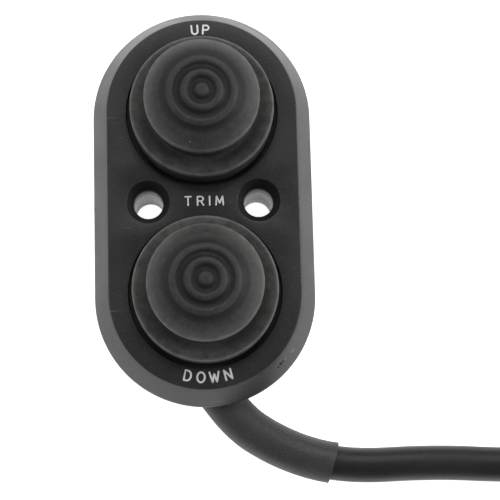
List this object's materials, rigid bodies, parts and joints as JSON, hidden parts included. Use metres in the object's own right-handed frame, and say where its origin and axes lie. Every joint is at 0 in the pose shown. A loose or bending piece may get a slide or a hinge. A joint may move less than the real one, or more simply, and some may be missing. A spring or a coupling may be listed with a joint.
{
  "type": "boat trim tab switch",
  "caption": "Oval switch with a sprung round button for up and one for down, through holes for mounting and a round lead.",
  "frame": {"origin": "centre of the back face of the case", "axes": "+Z out of the front face, +Y towards the up button, +X to the right seen from the front"},
  "size_m": [0.2279, 0.0984, 0.0344],
  "materials": {
    "housing": "satin black moulded plastic",
    "seal": "soft black rubber",
    "steel": "stainless steel",
    "inner_plastic": "natural acetal",
    "base_plastic": "brown laminate",
    "contact_metal": "bright bronze",
    "black_core": "black insulation",
    "blue_core": "blue insulation",
    "green_core": "green insulation",
    "sleeve": "semi-matte black shrink sleeve",
    "sheath": "smooth black cable sheath",
    "tie": "black nylon",
    "terminal": "blue insulated terminals",
    "boot_rubber": "matte moulded rubber",
    "legend": "white paint in engraved words"
  },
  "bodies": {
    "root": {"front_bezel": "housing", "rear_case": "housing", "case_seal": "seal", "case_screws": "steel", "boot_retainer": "inner_plastic", "up_boot_skirt": "boot_rubber", "down_boot_skirt": "boot_rubber", "contact_base": "base_plastic", "common_bus": "contact_metal", "up_contact": "contact_metal", "down_contact": "contact_metal", "contact_rivets": "contact_metal", "cable_clamp": "steel", "clamp_screws": "steel", "common_lead": "black_core", "up_lead": "blue_core", "down_lead": "green_core", "cable_sleeve": "sleeve", "cable": "sheath", "cable_coil": "sheath", "coil_ties": "tie", "cable_tail": "sheath", "common_tail_lead": "black_core", "up_tail_lead": "blue_core", "down_tail_lead": "green_core", "tail_terminals": "terminal"},
    "up_button": {"up_button_pad": "boot_rubber", "up_plunger": "inner_plastic", "up_return_spring": "steel", "up_plunger_clip": "steel", "up_contact_bridge": "contact_metal"},
    "down_button": {"down_button_pad": "boot_rubber", "down_plunger": "inner_plastic", "down_return_spring": "steel", "down_plunger_clip": "steel", "down_contact_bridge": "contact_metal"}
  },
  "joints": [
    {"name": "up_press", "type": "slide", "parent": "root", "child": "up_button", "axis": [0, 0, -1], "range_m": [0, 0.0025], "stiffness_N_per_m": 500, "springref_m": -0.004, "deforming": ["up_return_spring"]},
    {"name": "down_press", "type": "slide", "parent": "root", "child": "down_button", "axis": [0, 0, -1], "range_m": [0, 0.0025], "stiffness_N_per_m": 500, "springref_m": -0.004, "deforming": ["down_return_spring"]}
  ]
}
